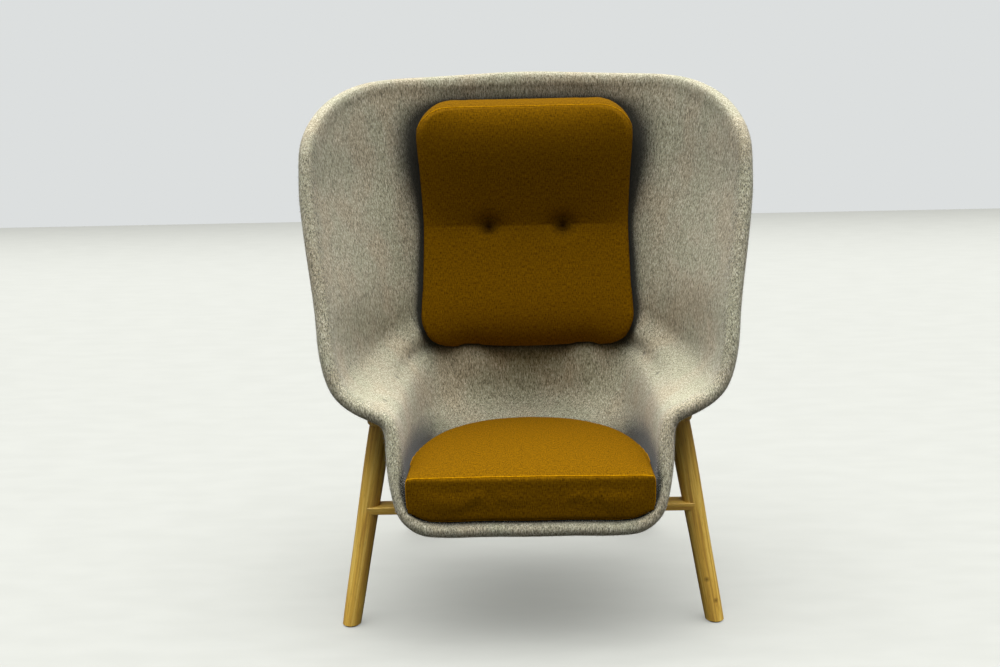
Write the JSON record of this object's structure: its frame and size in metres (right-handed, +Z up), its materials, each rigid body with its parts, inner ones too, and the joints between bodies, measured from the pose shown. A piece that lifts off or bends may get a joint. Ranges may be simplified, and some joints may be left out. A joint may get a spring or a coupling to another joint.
{
  "type": "lounge chair",
  "caption": "High back lounge chair: a winged pressed felt bucket on a splayed wooden frame, with a loose seat cushion and a tufted back cushion.",
  "frame": {"origin": "on the floor, under the middle of the chair's bounding box", "axes": "+Z up, the front of the chair faces -Y, +X to the right as seen from the front"},
  "size_m": [1.0808, 0.843, 1.3059],
  "materials": {
    "felt_shell": "thick pressed grey-beige felt with flecks",
    "oak": "clear matt lacquer",
    "screw_steel": "zinc plated",
    "washer_steel": "zinc plated",
    "insert_brass": "plain",
    "glide_plastic": "matt",
    "seat_cloth": "woven wool, ochre",
    "back_cloth": "woven wool, ochre",
    "foam": "open cell foam",
    "tape": "hook and loop tape"
  },
  "bodies": {
    "chair": {"felt_shell": "felt_shell", "shell_screws": "screw_steel", "shell_washers": "washer_steel", "shell_inserts": "insert_brass", "front_cross_rail": "oak", "rear_cross_rail": "oak", "front_leg_left": "oak", "front_leg_right": "oak", "rear_leg_left": "oak", "rear_leg_right": "oak", "side_rail_left": "oak", "side_rail_right": "oak", "front_glides": "glide_plastic", "rear_glides": "glide_plastic", "front_glide_screws": "screw_steel", "rear_glide_screws": "screw_steel", "back_cushion_cover": "back_cloth", "back_cushion_foam": "foam", "shell_hook_tapes": "tape", "back_cushion_loop_tapes": "tape"},
    "seat_cushion": {"seat_cushion_cover": "seat_cloth", "seat_cushion_foam": "foam"}
  },
  "joints": [
    {"name": "seat_cushion_lift", "type": "slide", "parent": "chair", "child": "seat_cushion", "axis": [0, 0, 1], "range_m": [0, 0.12]}
  ]
}
